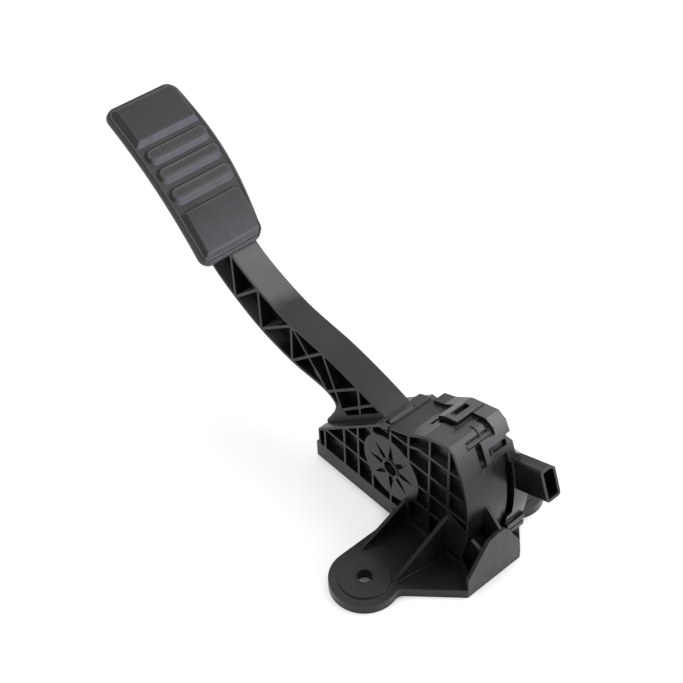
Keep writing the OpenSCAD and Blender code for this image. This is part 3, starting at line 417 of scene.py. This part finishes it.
def soft_step(v):
    v = min(max(v, 0.0), 1.0)
    return v * v * (3 - 2 * v)


def slope(v):
    """A straight slope from 0 to 1 whose foot and edge are rounded."""
    v = min(max(v, 0.0), 1.0)
    return 0.75 * v + 0.25 * soft_step(v)


def panel_rise(x, y, panel):
    (x0, x1), (y0, y1), (wx0, wx1, wy0, wy1) = panel
    if y > y1 - PANEL_CORNER and x < x0 + PANEL_CORNER:
        past = math.hypot(x0 + PANEL_CORNER - x, y - y1 + PANEL_CORNER)
        return slope((PANEL_CORNER - past) / wy1 + 1)
    return slope(min((x - x0) / wx0, (x1 - x) / wx1, (y - y0) / wy0, (y1 - y) / wy1, 0.0) + 1)


def bar_rise(x, y, bar):
    middle, half, (y0, y1) = bar
    across = x - middle
    past_end = max(y0 + half - y, y - (y1 - half), 0.0)
    r = math.hypot(across, past_end)
    side = (across / r) ** 2 if r > 0 else 1.0
    upper, lower, end = BAR_SLOPES
    width = end + ((lower if across > 0 else upper) - end) * side
    rise = slope((half - r) / width + 1)
    deep, inset, reach = BAR_GROOVE
    groove = deep * (1 - min(abs(r - half + inset) / reach, 1.0))
    return rise - groove / PAD_RELIEF


def pad_edges(x):
    """The near and the far edge of the pad at x, with rounded corners."""
    u = x / PAD_LEN + 0.5
    near = PAD_NEAR[0] + (PAD_NEAR[1] - PAD_NEAR[0]) * u
    bow = PAD_BOW * max(math.sin(math.pi * u), 0.0) ** PAD_BOW_POWER
    far = PAD_FAR[0] + (PAD_FAR[1] - PAD_FAR[0]) * u + bow
    over = abs(x) - (PAD_LEN / 2 - PAD_CORNER)
    if over > 0:
        cut = PAD_CORNER - math.sqrt(max(PAD_CORNER ** 2 - over ** 2, 0.0))
        return near + cut, far - cut
    return near, far


def pad_depth(x, y):
    near, far = pad_edges(x)
    inset = min(y - near, far - y, PAD_LEN / 2 - abs(x))
    high, place, spread = RIM_BEAD
    drop, reach = RIM_ROUND
    rim = high * math.exp(-((inset - place) / spread) ** 2) - drop * (1 - min(inset / reach, 1.0)) ** 2
    rise = max([panel_rise(x, y, p) for p in PANELS] + [bar_rise(x, y, b) for b in BARS])
    return PAD_BASE + rim + PAD_RELIEF * max(rise, 0.0)


def pad_point(x, y, depth):
    z = math.sqrt((PAD_RADIUS + depth) ** 2 - x * x) - PAD_RADIUS + PAD_SAG
    return (
        (PAD_MID[0] + x * math.cos(PAD_TILT) + z * math.sin(PAD_TILT)) * MM,
        (PAD_Y + y) * MM,
        (PAD_MID[1] - x * math.sin(PAD_TILT) + z * math.cos(PAD_TILT)) * MM)


def pad_column(x, share):
    """The y of a share of the pad's width, a little closer set near the edges."""
    near, far = pad_edges(x)
    share = 0.88 * share + 0.06 * (1 + math.sin(math.pi * (share - 0.5)))
    return near + (far - near) * share


def pad_rows():
    half = PAD_LEN / 2
    corner = [-half + PAD_CORNER * (1 - math.cos(math.pi / 2 * i / CORNER_ROWS)) for i in range(CORNER_ROWS)]
    length = PAD_LEN - 2 * PAD_CORNER
    middle = [-half + PAD_CORNER + length * i / MIDDLE_ROWS for i in range(MIDDLE_ROWS + 1)]
    return corner + middle + [-x for x in reversed(corner)]


def edge_marks(depths, row_count, step):
    """Marks the points where the face bends outwards between its neighbours."""
    marks = [0.0] * len(depths)
    for i in range(1, row_count - 1):
        for k in range(1, step - 1):
            a = i * step + k
            bend = 4 * depths[a] - depths[a - 1] - depths[a + 1] - depths[a - step] - depths[a + step]
            marks[a] = min(max(bend / EDGE_BEND - 0.1, 0.0), 1.0)
    return marks


def grid_loop(row_count, step):
    """The points round a grid's border, in order."""
    last = row_count - 1
    loop = list(range(step - 1)) + [i * step + step - 1 for i in range(last)]
    return loop + [last * step + k for k in range(step - 1, 0, -1)] + [i * step for i in range(last, 0, -1)]


def pad_shape():
    """The points, faces and edge marks of the pad's face, its skirt and the underside within the skirt."""
    rows = pad_rows()
    step = COLUMNS + 1
    places = [(x, pad_column(x, k / COLUMNS)) for x in rows for k in range(step)]
    depths = [pad_depth(x, y) for x, y in places]
    verts = [pad_point(x, y, depth) for (x, y), depth in zip(places, depths)]
    cells = [i * step + k for i in range(len(rows) - 1) for k in range(COLUMNS)]
    faces = [(a, a + 1, a + step + 1, a + step) for a in cells]
    loop = grid_loop(len(rows), step)
    shrink_x = 1 - SKIRT_WALL / (PAD_LEN / 2)
    shrink_y = 1 - SKIRT_WALL / PAD_FAR[1]
    rings = [loop]
    for scale_x, scale_y in ((1, 1), (shrink_x, shrink_y)):
        rings.append([len(verts) + j for j in range(len(loop))])
        for x, y in (places[index] for index in loop):
            at_arm = x > PAD_LEN / 2 - ARM_GAP_LENGTH and ARM_GAP[0] < y < ARM_GAP[1]
            verts.append(pad_point(x * scale_x, y * scale_y, PAD_UNDER - 0.05 if at_arm else PAD_SKIRT))
    under = len(verts)
    verts += [pad_point(x * shrink_x, y * shrink_y, PAD_UNDER) for x, y in places]
    faces += [(under + a, under + a + step, under + a + step + 1, under + a + 1) for a in cells]
    rings.append([under + index for index in loop])
    for upper, lower in zip(rings, rings[1:]):
        for j in range(len(loop)):
            n = (j + 1) % len(loop)
            faces.append((upper[j], upper[n], lower[n], lower[j]))
    marks = edge_marks(depths, len(rows), step)
    return verts, faces, marks + [0.0] * (len(verts) - len(marks))


def make_pad(material):
    verts, faces, marks = pad_shape()
    mesh = bpy.data.meshes.new("pad_cover")
    mesh.from_pydata(verts, [], faces)
    mesh.validate()
    # These marks lead the painted edge highlight in the pad's finish.
    mesh.attributes.new("edge", "FLOAT", "POINT").data.foreach_set("value", marks)
    work = bmesh.new()
    work.from_mesh(mesh)
    bmesh.ops.remove_doubles(work, verts=work.verts, dist=WELD)
    bmesh.ops.recalc_face_normals(work, faces=work.faces)
    work.to_mesh(mesh)
    work.free()
    for face in mesh.polygons:
        face.use_smooth = True
    pad = bpy.data.objects.new("pad_cover", mesh)
    scene.collection.objects.link(pad)
    mesh.materials.append(material)
    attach(pad, "pedal")
    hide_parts("pedal_pad")


make_camera()
make_world()
make_floor()
make_lights()
make_pad(make_finishes())
make_spring("outer_spring")
make_spring("inner_spring")
scene.view_settings.view_transform = "Standard"
